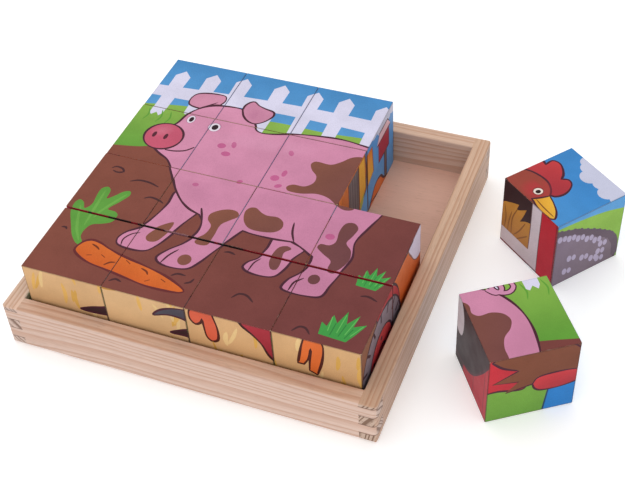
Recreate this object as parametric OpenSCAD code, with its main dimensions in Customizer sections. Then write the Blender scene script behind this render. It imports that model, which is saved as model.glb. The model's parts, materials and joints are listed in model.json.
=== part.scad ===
// Picture-cube puzzle: sixteen wooden blocks with a printed sheet on each of their six faces,
// in a box-jointed wooden tray that holds them four by four. Two blocks lie beside the tray.
// The origin is the middle of the whole set's footprint, on the table. +X right, +Y back, +Z up.

/* [Blocks] */
// Side of a block, sheets included
block_side = 40; // [35:1:45]
// Thickness of a printed sheet
sheet_t = 0.1; // [0.1:0.05:0.2]
// How far the wood's edges are eased
edge_ease = 0.15; // [0.1:0.05:0.5]
// Gap between the blocks of a row
column_gap = 0.1; // [0.1:0.1:0.5]
// Gap between the rows that stand close together
row_gap = 0.1; // [0.1:0.1:0.5]
// Gap left in front of the third row
wide_row_gap = 1.0; // [0.4:0.1:1.2]
// Gap between the back row and the back wall
back_gap = 1.6; // [0.8:0.1:1.6]

/* [Tray] */
// Room inside the tray beyond four block sides
tray_slack = 4; // [4:0.5:8]
// Thickness of the walls
wall_t = 8; // [7:0.5:12]
// Height of the walls
wall_h = 25; // [22:1:30]
// Height of the thin finger at the top of each corner joint
top_finger_h = 1.8; // [1:0.2:3]
// Radius of the outer corners and of the outer bottom edges
outer_r = 2.5; // [1:0.5:3.5]
// Radius of the outer top edges
top_r = 0.8; // [0.4:0.1:1.5]
// How far the inner top edges are eased
inner_ease = 0.4; // [0.2:0.1:0.8]
// Thickness of the floor panel
floor_t = 3; // [2:0.5:4]
// Height of the floor panel above the table
floor_lift = 2.5; // [2:0.5:4]
// Depth of the groove that holds the floor panel
groove_depth = 3; // [2:0.5:4]

/* [Loose blocks] */
// Distance from the tray to the middle of a loose block
loose_distance = 45; // [35:1:80]
// Place of the loose block at the back, front to back
loose_back_y = 51; // [40:1:60]
// Place of the loose block at the front, front to back
loose_front_y = -36; // [-60:1:-25]
// How far the loose block at the back is turned, in degrees
loose_back_turn = -38.5; // [-45:0.5:45]
// How far the loose block at the front is turned, in degrees
loose_front_turn = 34.5; // [-45:0.5:45]

/* [Hidden] */
$fn = 64;
count = 4;                       // rows and columns of blocks
full_fingers = 4;                // whole fingers in a corner joint, under the thin one
row_shift = [0.7, 0.5, 0.3, 0.5]; // how far each row, from the back, has slid to the right
seat_gap = 0.02;                 // between a block and the floor panel it stands on
panel_play = 0.2;                // between the floor panel's edge and the groove's bottom
over = 1;                        // how far cutting shapes reach past what they cut

wood_side = block_side - 2 * sheet_t;
sheet_side = wood_side - 2 * edge_ease;
inside = count * block_side + tray_slack;
outside = inside + 2 * wall_t;
finger_h = (wall_h - top_finger_h) / full_fingers;
floor_top = floor_lift + floor_t;

loose_x = outside / 2 + loose_distance;
function reach(turn) = block_side / 2 * (abs(cos(turn)) + abs(sin(turn)));
set_right = loose_x + max(reach(loose_back_turn), reach(loose_front_turn));
set_middle = (set_right - outside / 2) / 2;

// Rows count from the back and columns from the left, as the picture is read.
pitch_x = block_side + column_gap;
front_of_row = [0, row_gap, 2 * row_gap, 2 * row_gap + wide_row_gap];
function block_x(r, c) = (c - (count + 1) / 2) * pitch_x + row_shift[r - 1];
function block_y(r) = inside / 2 - back_gap - (r - 0.5) * block_side - front_of_row[r - 1];
function is_loose(r, c) = c == count && r <= 2;

TRAY_NODES = ["front_wall", "back_wall", "left_wall", "right_wall", "floor_panel"];
BLOCK_NODES = [for (r = [1:count], c = [1:count]) str("block_r", r, "c", c)];
SHEET_NODES = [for (r = [1:count], c = [1:count]) str("sheets_r", r, "c", c)];

// A box around a middle point, standing on z
module slab(size, z) translate([-size[0] / 2, -size[1] / 2, z]) cube(size);

// The tray's outline, a square with round corners
module outline() {
    flat = outside - 2 * outer_r;
    square([outside, flat], center = true);
    square([flat, outside], center = true);
    for (x = [-1, 1], y = [-1, 1]) translate([x * flat / 2, y * flat / 2]) circle(r = outer_r);
}

// What a round along the front's outer bottom edge takes away
module edge_waste(r) {
    difference() {
        translate([-outside, -outside / 2 - over, -over]) cube([2 * outside, r + over, r + over]);
        translate([0, r - outside / 2, r]) rotate([0, 90, 0]) cylinder(r = r, h = 3 * outside, center = true);
    }
}

// The four walls as one ring, rounded, eased and grooved, before it is shared among them
module ring() {
    ease_side = inner_ease * sqrt(2);
    difference() {
        linear_extrude(height = wall_h) outline();
        slab([inside, inside, wall_h + 2 * over], -over);
        slab([inside + 2 * groove_depth, inside + 2 * groove_depth, floor_t], floor_lift);
        for (side = [0:90:270]) rotate(side) {
            edge_waste(outer_r);
            translate([0, 0, wall_h]) mirror([0, 0, 1]) edge_waste(top_r);
            translate([0, -inside / 2, wall_h]) rotate([45, 0, 0]) cube([inside, ease_side, ease_side], center = true);
        }
    }
}

// The heights at which the left and right walls run through to the front and back faces
module side_fingers() {
    slab([2 * outside, 2 * outside, top_finger_h + over], wall_h - top_finger_h);
    for (i = [0:2:full_fingers - 1]) {
        z = i == 0 ? -over : i * finger_h;
        slab([2 * outside, 2 * outside, (i + 1) * finger_h - z], z);
    }
}

// The wall at the front of the ring, with its fingers between those of the side walls
module cross_wall() {
    intersection() {
        ring();
        translate([0, -(inside + wall_t) / 2, 0]) difference() {
            slab([outside, wall_t, wall_h], 0);
            difference() {
                side_fingers();
                slab([inside, 2 * wall_t, wall_h + 4 * over], -2 * over);
            }
        }
    }
}

// The wall at the right of the ring, with the fingers that reach the front and back faces
module side_wall() {
    intersection() {
        ring();
        translate([(inside + wall_t) / 2, 0, 0]) intersection() {
            slab([wall_t, outside, wall_h], 0);
            union() {
                side_fingers();
                slab([2 * wall_t, inside, wall_h + 2 * over], -over);
            }
        }
    }
}

module front_wall() color("burlywood") cross_wall();

module back_wall() color("burlywood") rotate(180) cross_wall();

module left_wall() color("wheat") rotate(180) side_wall();

module right_wall() color("wheat") side_wall();

// The thin panel that the blocks stand on, held in the walls' groove
module floor_panel() {
    side = inside + 2 * (groove_depth - panel_play);
    color("tan") slab([side, side, floor_t], floor_lift);
}

// A prism whose long edges are eased, from which three crossed ones make a block
module eased_prism() {
    s = wood_side / 2;
    e = s - edge_ease;
    linear_extrude(height = wood_side, center = true)
        polygon([[-e, -s], [e, -s], [s, -e], [s, e], [e, s], [-e, s], [-s, e], [-s, -e]]);
}

// A solid wooden cube with eased edges, about its own middle
module wooden_cube() {
    color("navajowhite") intersection() {
        eased_prism();
        rotate([90, 0, 0]) eased_prism();
        rotate([0, 90, 0]) eased_prism();
    }
}

// The six printed sheets glued to a cube, about the cube's middle
module printed_sheets() {
    sheet = [sheet_side, sheet_side, sheet_t];
    color("orchid") for (turn = [[0, 0], [180, 0], [90, 0], [90, 90], [90, 180], [90, 270]])
        rotate([turn[0], 0, turn[1]]) slab(sheet, wood_side / 2);
}

// Carries a shape from the block's middle to the block's place
module at_place(r, c) {
    if (is_loose(r, c))
        translate([loose_x, r == 1 ? loose_back_y : loose_front_y, block_side / 2])
            rotate(r == 1 ? loose_back_turn : loose_front_turn) children();
    else
        translate([block_x(r, c), block_y(r), floor_top + seat_gap + block_side / 2]) children();
}

translate([-set_middle, 0, 0]) {
    front_wall();
    back_wall();
    left_wall();
    right_wall();
    floor_panel();
    for (r = [1:count], c = [1:count]) {
        at_place(r, c) wooden_cube();
        at_place(r, c) printed_sheets();
    }
}
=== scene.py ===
import json
import math

import bpy
import numpy as np
from mathutils import Euler, Matrix, Vector
from mathutils.geometry import delaunay_2d_cdt

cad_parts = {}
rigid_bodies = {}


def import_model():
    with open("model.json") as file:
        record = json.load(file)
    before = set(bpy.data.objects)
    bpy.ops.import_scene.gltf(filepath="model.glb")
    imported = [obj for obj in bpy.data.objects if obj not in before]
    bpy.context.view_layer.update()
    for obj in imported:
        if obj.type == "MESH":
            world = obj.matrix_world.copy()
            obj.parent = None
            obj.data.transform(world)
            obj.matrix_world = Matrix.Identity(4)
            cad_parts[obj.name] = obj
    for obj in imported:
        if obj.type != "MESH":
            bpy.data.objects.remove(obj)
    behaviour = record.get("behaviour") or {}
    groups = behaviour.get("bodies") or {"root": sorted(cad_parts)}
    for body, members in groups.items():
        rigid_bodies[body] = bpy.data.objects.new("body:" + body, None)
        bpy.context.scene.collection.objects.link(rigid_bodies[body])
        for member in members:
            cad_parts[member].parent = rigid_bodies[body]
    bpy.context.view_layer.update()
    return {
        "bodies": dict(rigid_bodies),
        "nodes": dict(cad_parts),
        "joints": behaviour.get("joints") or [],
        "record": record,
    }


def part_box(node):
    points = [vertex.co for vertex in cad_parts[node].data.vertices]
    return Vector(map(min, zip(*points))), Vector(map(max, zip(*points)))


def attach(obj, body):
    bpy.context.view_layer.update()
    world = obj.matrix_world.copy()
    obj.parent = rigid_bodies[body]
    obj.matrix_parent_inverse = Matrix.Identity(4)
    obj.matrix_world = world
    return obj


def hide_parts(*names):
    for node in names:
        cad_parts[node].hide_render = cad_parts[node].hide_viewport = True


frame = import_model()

# Sixteen wooden blocks with a printed sheet on each face, in and beside a box-jointed pine tray.
# Metres. Six farm pictures are drawn below as flat shapes, cut into sixteen sheets each, and laid
# on the blocks as thin meshes whose triangles carry the ink's colour.

MM = 0.001


# ---------------------------------------------------------------------------------- measures

def corner_points(node):
    """The vertices of a CAD node as an array, in metres."""
    mesh = frame["nodes"][node].data
    points = np.zeros(len(mesh.vertices) * 3, np.float32)
    mesh.vertices.foreach_get("co", points)
    return points.reshape(-1, 3).astype(float)


def block_turn(node):
    """How far a block is turned about the vertical, between -45 and 45 degrees, in radians."""
    sides = [p for p in frame["nodes"][node].data.polygons if abs(p.normal.z) < 0.01]
    widest = max(sides, key=lambda p: p.area)
    angle = math.atan2(widest.normal.y, widest.normal.x)
    return (angle + math.pi / 4) % (math.pi / 2) - math.pi / 4


COUNT = 4
NAMES = [(r, c) for r in range(1, COUNT + 1) for c in range(1, COUNT + 1)]
ALL_LOW, ALL_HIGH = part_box("sheets_r4c1")
WOOD_LOW, WOOD_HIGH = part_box("block_r4c1")
BLOCK = ALL_HIGH.z - ALL_LOW.z
SHEET_T = ALL_HIGH.z - WOOD_HIGH.z
SHEET_POINTS = corner_points("sheets_r4c1")
TOP_POINTS = SHEET_POINTS[SHEET_POINTS[:, 2] > ALL_HIGH.z - SHEET_T / 2]
EASE = (WOOD_HIGH.x - WOOD_LOW.x - float(np.ptp(TOP_POINTS[:, 0]))) / 2
SHEET = WOOD_HIGH.x - WOOD_LOW.x - 2 * 0.00003

TRAY_LOW, TRAY_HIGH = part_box("front_wall")
TRAY_X = (TRAY_LOW.x + TRAY_HIGH.x) / 2
BACK_LOW, BACK_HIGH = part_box("back_wall")
TRAY_Y = (TRAY_LOW.y + BACK_HIGH.y) / 2
HALF_OUT = (TRAY_HIGH.x - TRAY_LOW.x) / 2
HALF_IN = HALF_OUT - (TRAY_HIGH.y - TRAY_LOW.y)


# -------------------------------------------------------------------------------- the stage

def make_camera():
    data = bpy.data.cameras.new("camera")
    data.sensor_width = 36.0
    data.lens = 69.48
    data.clip_start = 0.01
    data.clip_end = 20.0
    camera = bpy.data.objects.new("camera", data)
    bpy.context.scene.collection.objects.link(camera)
    azimuth, elevation, roll = 0.4157, 0.7831, -0.0677
    back = Vector((math.sin(azimuth) * math.cos(elevation), -math.cos(azimuth) * math.cos(elevation),
                   math.sin(elevation)))
    right = (-back).cross(Vector((0, 0, 1))).normalized()
    up = right.cross(-back)
    turned_right = right * math.cos(roll) + up * math.sin(roll)
    turned_up = up * math.cos(roll) - right * math.sin(roll)
    place = Vector((TRAY_X + 0.19284, TRAY_Y - 0.37692, 0.42205))
    camera.matrix_world = Matrix.Translation(place) @ Matrix((turned_right, turned_up, back)).transposed().to_4x4()
    bpy.context.scene.camera = camera


def area_light(name, place, target, size, power, colour=(1, 1, 1)):
    data = bpy.data.lights.new(name, "AREA")
    data.shape = "DISK"
    data.size = size
    data.energy = power
    data.color = colour
    light = bpy.data.objects.new(name, data)
    light.location = place
    light.rotation_euler = (Vector(target) - Vector(place)).to_track_quat("-Z", "Y").to_euler()
    bpy.context.scene.collection.objects.link(light)


def make_stage():
    scene = bpy.context.scene
    scene.view_settings.view_transform = "Standard"
    world = bpy.data.worlds.new("studio")
    scene.world = world
    world.use_nodes = True
    world.node_tree.nodes["Background"].inputs["Color"].default_value = (1.0, 1.0, 1.0, 1.0)
    world.node_tree.nodes["Background"].inputs["Strength"].default_value = 0.92
    area_light("overhead", (-0.35, 0.25, 0.9), (0, 0, 0), 0.9, 1.3, (1.0, 0.985, 0.96))
    area_light("front", (0.1, -0.9, 0.6), (0, 0, 0), 0.6, 1.5)

    bpy.ops.mesh.primitive_plane_add(size=6.0, location=(0, 0, 0))
    floor = bpy.context.object
    floor.name = "floor"
    material = bpy.data.materials.new("floor")
    material.use_nodes = True
    shader = material.node_tree.nodes["Principled BSDF"]
    shader.inputs["Base Color"].default_value = (0.95, 0.95, 0.95, 1.0)
    shader.inputs["Roughness"].default_value = 0.9
    shader.inputs["Emission Color"].default_value = (1.0, 1.0, 1.0, 1.0)
    shader.inputs["Emission Strength"].default_value = 0.2
    floor.data.materials.append(material)


# -------------------------------------------------------------------------------- materials

def linear(text):
    """An sRGB colour written as six hex digits, as linear red, green and blue."""
    values = [int(text[i:i + 2], 16) / 255 for i in (0, 2, 4)]
    return tuple(v / 12.92 if v <= 0.04045 else ((v + 0.055) / 1.055) ** 2.4 for v in values)


class Finish:
    """A node material with a Principled shader, and short ways to add nodes to it."""

    def __init__(self, name):
        self.material = bpy.data.materials.new(name)
        self.material.use_nodes = True
        self.tree = self.material.node_tree
        self.shader = self.tree.nodes["Principled BSDF"]

    def put(self, socket, value):
        if isinstance(value, bpy.types.NodeSocket):
            self.tree.links.new(value, socket)
        elif isinstance(value, tuple) and len(value) == 3 and len(socket.default_value) == 4:
            socket.default_value = (*value, 1.0)
        else:
            socket.default_value = value

    def node(self, kind, inputs=(), **settings):
        node = self.tree.nodes.new("ShaderNode" + kind)
        for key, value in settings.items():
            setattr(node, key, value)
        for key, value in dict(inputs).items():
            self.put(node.inputs[key], value)
        return node

    def math(self, operation, *values):
        node = self.node("Math", operation=operation)
        for socket, value in zip(node.inputs, values):
            self.put(socket, value)
        return node.outputs[0]

    def ramp(self, value, low, high, out_low=0.0, out_high=1.0):
        node = self.node("MapRange", {"Value": value, "From Min": low, "From Max": high,
                                      "To Min": out_low, "To Max": out_high},
                         interpolation_type="SMOOTHSTEP")
        return node.outputs["Result"]

    def mix(self, factor, a, b, blend="MIX"):
        node = self.node("Mix", data_type="RGBA", blend_type=blend)
        self.put(node.inputs[0], factor)
        self.put(node.inputs[6], a)
        self.put(node.inputs[7], b)
        return node.outputs[2]

    def noise(self, vector, scale, detail=2.0, roughness=0.5):
        node = self.node("TexNoise", {"Vector": vector, "Scale": scale, "Detail": detail,
                                      "Roughness": roughness})
        return node.outputs[0]

    def stretched(self, vector, scales, place=(0, 0, 0)):
        node = self.node("Mapping", {"Vector": vector, "Scale": scales, "Location": place})
        return node.outputs[0]

    def bump(self, height, strength, distance):
        node = self.node("Bump", {"Height": height, "Strength": strength, "Distance": distance})
        self.tree.links.new(node.outputs[0], self.shader.inputs["Normal"])


def wood(name, along, pith, ring, early, late, seed, contrast=1.0, fibres=0.16, joints=None):
    """Solid wood: growth rings about a pith line that runs along one axis, with fibres and pores.
    along is the grain's axis; pith is a point on the pith line, and ring the width of a ring."""
    finish = Finish(name)
    coords = finish.node("TexCoord").outputs["Object"]
    parts = finish.node("SeparateXYZ", {"Vector": coords}).outputs
    across = [i for i in range(3) if i != along]
    lift = [0.0, 0.0, 0.0]
    lift[along] = 1.0
    slow = [22.0] * 3
    slow[along] = 5.0
    shift = (seed * 1.7, seed * 0.9, seed * 2.3)
    waver = finish.noise(finish.stretched(coords, tuple(slow), shift), 1.0, 2.0)
    quick = [90.0] * 3
    quick[along] = 18.0
    ripple = finish.noise(finish.stretched(coords, tuple(quick), shift), 1.0, 2.0)
    a = finish.math("SUBTRACT", parts[across[0]], pith[across[0]])
    b = finish.math("SUBTRACT", parts[across[1]], pith[across[1]])
    radius = finish.math("SQRT", finish.math("ADD", finish.math("MULTIPLY", a, a),
                                             finish.math("MULTIPLY", b, b)))
    radius = finish.math("MULTIPLY_ADD", waver, 5.0 * ring, radius)
    radius = finish.math("MULTIPLY_ADD", ripple, 0.9 * ring, radius)
    turn = finish.math("DIVIDE", radius, ring)
    uneven = finish.node("TexNoise", {"W": turn, "Scale": 0.37, "Detail": 1.0}, noise_dimensions="1D")
    turn = finish.math("MULTIPLY_ADD", uneven.outputs[0], 1.6, turn)
    saw = finish.math("FRACT", turn)
    late_part = finish.math("MULTIPLY", finish.ramp(saw, 0.25, 0.88), finish.ramp(saw, 0.9, 1.0, 1.0, 0.0))

    fine = [1500.0] * 3
    fine[along] = 45.0
    fibre = finish.noise(finish.stretched(coords, tuple(fine), shift), 1.0, 3.0, 0.65)
    dashes = [2600.0] * 3
    dashes[along] = 160.0
    pores = finish.ramp(finish.noise(finish.stretched(coords, tuple(dashes), shift), 1.0, 1.0), 0.63, 0.72)
    broad = [16.0] * 3
    broad[along] = 3.5
    patch = finish.noise(finish.stretched(coords, tuple(broad), (seed * 3.1, 0.4, 0.2)), 1.0, 2.0)

    colour = finish.mix(finish.math("MULTIPLY", late_part, contrast), early, late)
    colour = finish.mix(finish.ramp(patch, 0.35, 0.7, 0.0, 0.35), colour, tuple(0.82 * v for v in late))
    colour = finish.mix(finish.ramp(fibre, 0.3, 0.7, fibres, 0.0), colour, (0.18, 0.09, 0.05))
    colour = finish.mix(finish.math("MULTIPLY", pores, 0.22), colour, (0.2, 0.1, 0.06))

    normal = finish.node("SeparateXYZ", {"Vector": finish.node("TexCoord").outputs["Normal"]}).outputs
    # Up-facing faces get a warmer, yellower, slightly darker tint: painted light, standing for warm light bounced up
    # from the blocks.
    painted_bounce_tint = finish.mix(finish.ramp(normal[2], 0.5, 0.95, 0.0, 0.6), (1, 1, 1), (1.06, 0.92, 0.76))
    colour = finish.mix(1.0, colour, painted_bounce_tint, "MULTIPLY")
    end_grain = finish.ramp(finish.math("ABSOLUTE", normal[along]), 0.75, 0.9)
    dots = finish.ramp(finish.noise(finish.stretched(coords, (1900.0, 1900.0, 1900.0), shift), 1.0, 1.0), 0.5, 0.68)
    rings = finish.math("MULTIPLY_ADD", dots, 0.35, finish.ramp(late_part, 0.3, 0.8))
    ends = finish.mix(rings, tuple(0.8 * v for v in early), tuple(0.42 * v for v in late))
    colour = finish.mix(end_grain, colour, ends)
    if joints:
        colour = joint_lines(finish, parts, colour, joints)
    finish.put(finish.shader.inputs["Base Color"], colour)
    rough = finish.ramp(fibre, 0.3, 0.75, 0.62, 0.5)
    finish.put(finish.shader.inputs["Roughness"], rough)
    finish.shader.inputs["Specular IOR Level"].default_value = 0.35
    height = finish.math("MULTIPLY_ADD", late_part, 0.6, finish.math("MULTIPLY", fibre, 0.8))
    height = finish.math("SUBTRACT", height, finish.math("MULTIPLY", pores, 0.6))
    finish.bump(height, min(0.5, 3 * fibres), 0.00012)
    return finish.material


def joint_lines(finish, parts, colour, finger):
    """Thin dark glue lines where the fingers of a corner joint meet."""
    x = finish.math("ABSOLUTE", finish.math("SUBTRACT", parts[0], TRAY_X))
    y = finish.math("ABSOLUTE", finish.math("SUBTRACT", parts[1], TRAY_Y))
    inside = finish.math("MULTIPLY", finish.math("GREATER_THAN", x, HALF_IN - 0.0002),
                         finish.math("GREATER_THAN", y, HALF_IN - 0.0002))
    step = finish.math("FRACT", finish.math("DIVIDE", parts[2], finger))
    away = finish.math("MULTIPLY", finish.math("MINIMUM", step, finish.math("SUBTRACT", 1.0, step)), finger)
    line = finish.math("MULTIPLY", finish.ramp(away, 0.0001, 0.00035, 0.8, 0.0), inside)
    return finish.mix(line, colour, (0.1, 0.045, 0.03))


def printed_paper():
    """Varnished printed paper: the ink's colour comes with the mesh, worn a little at the edges and darker there,
    partly from dirt and partly from painted shade.
    """
    finish = Finish("printed_paper")
    ink = finish.node("Attribute", attribute_name="ink", attribute_type="GEOMETRY").outputs["Color"]
    coords = finish.node("TexCoord").outputs["Object"]
    wash = finish.noise(coords, 70.0, 3.0, 0.55)
    grain = finish.noise(coords, 2400.0, 2.0, 0.6)
    colour = finish.mix(finish.ramp(wash, 0.3, 0.7, 0.0, 0.1), ink, (0.0, 0.0, 0.0))
    colour = finish.mix(finish.ramp(grain, 0.35, 0.75, 0.0, 0.14), colour, (0.0, 0.0, 0.0))

    sheet = finish.node("SeparateXYZ", {"Vector": finish.node("UVMap", uv_map="sheet").outputs[0]}).outputs
    edges = [finish.math("MINIMUM", s, finish.math("SUBTRACT", 1.0, s)) for s in (sheet[0], sheet[1])]
    edge = finish.math("MULTIPLY", finish.math("MINIMUM", *edges), SHEET)
    rub = finish.noise(coords, 420.0, 4.0, 0.6)
    worn = finish.math("MULTIPLY", finish.ramp(edge, 0.00005, 0.0004, 1.0, 0.0), finish.ramp(rub, 0.55, 0.7))
    colour = finish.mix(finish.math("MULTIPLY", worn, 0.15), colour, (0.5, 0.42, 0.38))
    # Darker near the edges, more on the sides and underside than on top: partly dirt, partly painted shade.
    upright = finish.node("SeparateXYZ", {"Vector": finish.node("TexCoord").outputs["Normal"]}).outputs[2]
    edge_dirt_and_shade = finish.math("MULTIPLY", finish.ramp(edge, 0.0001, 0.0006, 1.0, 0.0), finish.ramp(upright, 0.3, 0.8, 0.6, 0.1))
    colour = finish.mix(edge_dirt_and_shade, colour, (0.06, 0.03, 0.03))
    finish.put(finish.shader.inputs["Base Color"], colour)
    finish.put(finish.shader.inputs["Roughness"], finish.ramp(wash, 0.3, 0.7, 0.36, 0.46))
    finish.shader.inputs["Specular IOR Level"].default_value = 0.1
    finish.bump(finish.math("MULTIPLY_ADD", rub, 1.5, grain), 0.18, 0.00006)
    return finish.material


# ------------------------------------------------------------------------- drawing in the flat

SPACING = 0.035          # longest step along a drawn curve, in block sides
INK = "4A2230"


def points_of(text):
    """Points written as "x,y x,y", where a star after a point makes it a corner."""
    words = text.split()
    points = np.array([[float(v) for v in w.rstrip("*").split(",")] for w in words])
    return points, [w.endswith("*") for w in words]


def smooth(points, corner, closed):
    """A curve through the points, with sharp turns only at the corners."""
    n = len(points)
    out = []
    for i in range(n if closed else n - 1):
        p, q = points[i], points[(i + 1) % n]
        chord = np.linalg.norm(q - p)
        ends = []
        for k, here in ((i, p), ((i + 1) % n, q)):
            before, after = points[(k - 1) % n], points[(k + 1) % n]
            loose = corner[k] or (not closed and k in (0, n - 1))
            span = np.linalg.norm(after - here) + np.linalg.norm(here - before)
            ends.append(q - p if loose or span < 1e-9 else (after - before) / span * chord)
        steps = max(2, math.ceil(chord / SPACING))
        if (corner[i] or (not closed and i == 0)) and (corner[(i + 1) % n] or (not closed and i == n - 2)):
            steps = 1
        t = np.arange(steps)[:, None] / steps
        out.append((2 * t**3 - 3 * t**2 + 1) * p + (t**3 - 2 * t**2 + t) * ends[0]
                   + (3 * t**2 - 2 * t**3) * q + (t**3 - t**2) * ends[1])
    if not closed:
        out.append(points[-1:])
    return np.concatenate(out)


def side_steps(curve, closed):
    """The unit vectors that point to the left of a curve, at each of its points."""
    if closed:
        along = np.roll(curve, -1, 0) - np.roll(curve, 1, 0)
    else:
        along = np.gradient(curve, axis=0)
    along /= np.maximum(np.linalg.norm(along, axis=1, keepdims=True), 1e-9)
    return np.stack([-along[:, 1], along[:, 0]], 1)


def signed_area(loop):
    x, y = loop[:, 0], loop[:, 1]
    return 0.5 * float(np.sum(x * np.roll(y, -1) - np.roll(x, -1) * y))


class Picture:
    """Shapes in the order they are painted, in block sides from the picture's lower left corner."""

    def __init__(self):
        self.shapes = []

    def loop(self, colour, loop, soft=None):
        if signed_area(loop) < 0:
            loop = loop[::-1]
        self.shapes.append((colour, loop, soft))

    def area(self, colour, text, ink=0.0, ink_colour=INK):
        """A filled outline, with a drawn line of the given width around it."""
        points, corner = points_of(text)
        self.outlined(colour, smooth(points, corner, True), ink, ink_colour)

    def outlined(self, colour, curve, ink, ink_colour):
        if signed_area(curve) < 0:
            curve = curve[::-1]
        if ink:
            out = side_steps(curve, True)
            sway = 1 + 0.25 * np.sin(np.arange(len(curve)) * 0.37)[:, None]
            self.loop(ink_colour, curve - out * ink / 2 * sway)
            self.loop(colour, curve + out * ink / 2 * sway)
        else:
            self.loop(colour, curve)

    def line(self, width, text, colour=INK, taper=0.3):
        """A brush line that thins out towards its ends."""
        points, corner = points_of(text)
        curve = smooth(points, corner, False)
        run = np.concatenate([[0], np.cumsum(np.linalg.norm(np.diff(curve, axis=0), axis=1))])
        run /= run[-1]
        half = width / 2 * (taper + (1 - taper) * np.sin(np.pi * run) ** 0.5)[:, None]
        out = side_steps(curve, False)
        self.loop(colour, np.concatenate([curve + out * half, (curve - out * half)[::-1]]))

    def oval(self, colour, x, y, rx, ry=None, turn=0.0, ink=0.0, ink_colour=INK, soft=None):
        ry = ry or rx
        n = max(12, math.ceil(2 * math.pi * max(rx, ry) / SPACING))
        a = np.arange(n) * 2 * math.pi / n
        c, s = math.cos(math.radians(turn)), math.sin(math.radians(turn))
        u, v = rx * np.cos(a), ry * np.sin(a)
        curve = np.stack([x + c * u - s * v, y + s * u + c * v], 1)
        if soft:
            self.loop(colour, curve, (x, y, rx, ry, math.radians(turn), soft))
        else:
            self.outlined(colour, curve, ink, ink_colour)

    def blush(self, colour, x, y, rx, ry=None, turn=0.0, strength=0.8):
        """A soft spot that fades out towards its edge."""
        self.oval(colour, x, y, rx, ry, turn, soft=strength)


def fade(low, high, start, end):
    """A colour that changes evenly from one point to another."""
    return low, high, start, end


def colour_at(colour, points):
    if isinstance(colour, str):
        return np.tile(linear(colour), (len(points), 1))
    low, high, start, end = colour
    way = np.subtract(end, start)
    t = np.clip((points - start) @ way / (way @ way), 0, 1)[:, None]
    return np.array(linear(low)) * (1 - t) + np.array(linear(high)) * t


def inside(points, loop):
    """True for each point that a loop winds around."""
    a, b = loop, np.roll(loop, -1, 0)
    x, y = points[:, :1], points[:, 1:]
    left = (b[:, 0] - a[:, 0]) * (y - a[:, 1]) - (x - a[:, 0]) * (b[:, 1] - a[:, 1])
    rising = (a[:, 1] <= y) & (b[:, 1] > y) & (left > 0)
    falling = (a[:, 1] > y) & (b[:, 1] <= y) & (left < 0)
    return rising.sum(1) != falling.sum(1)


# ------------------------------------------------------------------------------ the pictures

SKY = fade("62A3D8", "468AC4", (0, 2.4), (0, 4))
GRASS = fade("5F9636", "84AF48", (0, 0.6), (0, 3.1))
WHITE = "D8D5EB"
RED = "AE303B"
ORANGE = "D7682F"
STRAW = "CF9238"
BEAK = "E3A63A"
DARK = "3A2530"


def picket_fence(p, pickets, rails, foot=0.03):
    for rail in rails:
        p.area(WHITE, rail)
    for x, low, high in pickets:
        a, b = x - 0.1, x + 0.1
        p.area(WHITE, f"{a + 0.015},{low}* {a - 0.005},{high - 0.11}* {x},{high}* {b + 0.005},{high - 0.11}* "
                      f"{b - 0.015},{low + foot}* {x + 0.05},{low - foot}* {x},{low + foot}* {x - 0.05},{low - foot}*")


def grass_tuft(p, x, y, size=1.0, colours=("3F9A45", "66B85C", "2E7A3A")):
    """A tuft of pointed blades that fan out from a narrow foot at x, y."""
    outline = ((-0.19, -0.07), (-0.21, 0.1), (-0.14, 0.06), (-0.12, 0.23), (-0.05, 0.13), (0.01, 0.32), (0.05, 0.15),
               (0.15, 0.3), (0.13, 0.13), (0.26, 0.2), (0.19, 0.04), (0.12, -0.09))
    p.area(colours[0], " ".join(f"{x + a * size:.3f},{y + b * size:.3f}*" for a, b in outline))
    for shade, strokes in ((colours[1], ((-0.11, 0.0, -0.125, 0.2), (-0.01, 0.0, 0.008, 0.27), (0.08, 0.0, 0.14, 0.26),
                                         (0.14, 0.0, 0.23, 0.17))),
                           (colours[2], ((-0.07, -0.05, -0.06, 0.13), (0.02, -0.04, 0.05, 0.14), (0.09, -0.05, 0.14, 0.1)))):
        for a, b, tip, top in strokes:
            p.line(0.035 * size, f"{x + a * size:.3f},{y + b * size:.3f} {x + tip * size:.3f},{y + top * size:.3f}", shade, 0.3)


def cloud(p, x, y, size=1.0):
    for dx, dy, r in ((-0.5, -0.02, 0.13), (-0.36, 0.08, 0.17), (-0.16, 0.14, 0.2), (0.1, 0.16, 0.22), (0.34, 0.08, 0.19),
                      (0.52, -0.02, 0.14), (-0.26, -0.1, 0.14), (0.0, -0.12, 0.16), (0.28, -0.11, 0.15)):
        p.oval("C6C8DE", x + dx * size, y + dy * size, r * size * 1.15, r * size * 0.85)


def scatter(p, seed, number, box, colours, long, width, lean):
    """Loose strokes over a box, such as straw or blades of grass."""
    rng = np.random.default_rng(seed)
    for _ in range(number):
        x, y = rng.uniform(box[0], box[2]), rng.uniform(box[1], box[3])
        a = rng.normal(lean[0], lean[1])
        n = long * rng.uniform(0.6, 1.2)
        dx, dy = n * math.sin(a), n * math.cos(a)
        bend = rng.uniform(-0.08, 0.08) * n
        p.line(width * rng.uniform(0.7, 1.3),
               f"{x:.3f},{y:.3f} {x + dx / 2 + bend:.3f},{y + dy / 2:.3f} {x + dx:.3f},{y + dy:.3f}",
               colours[int(rng.integers(len(colours)))], 0.2)


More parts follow.
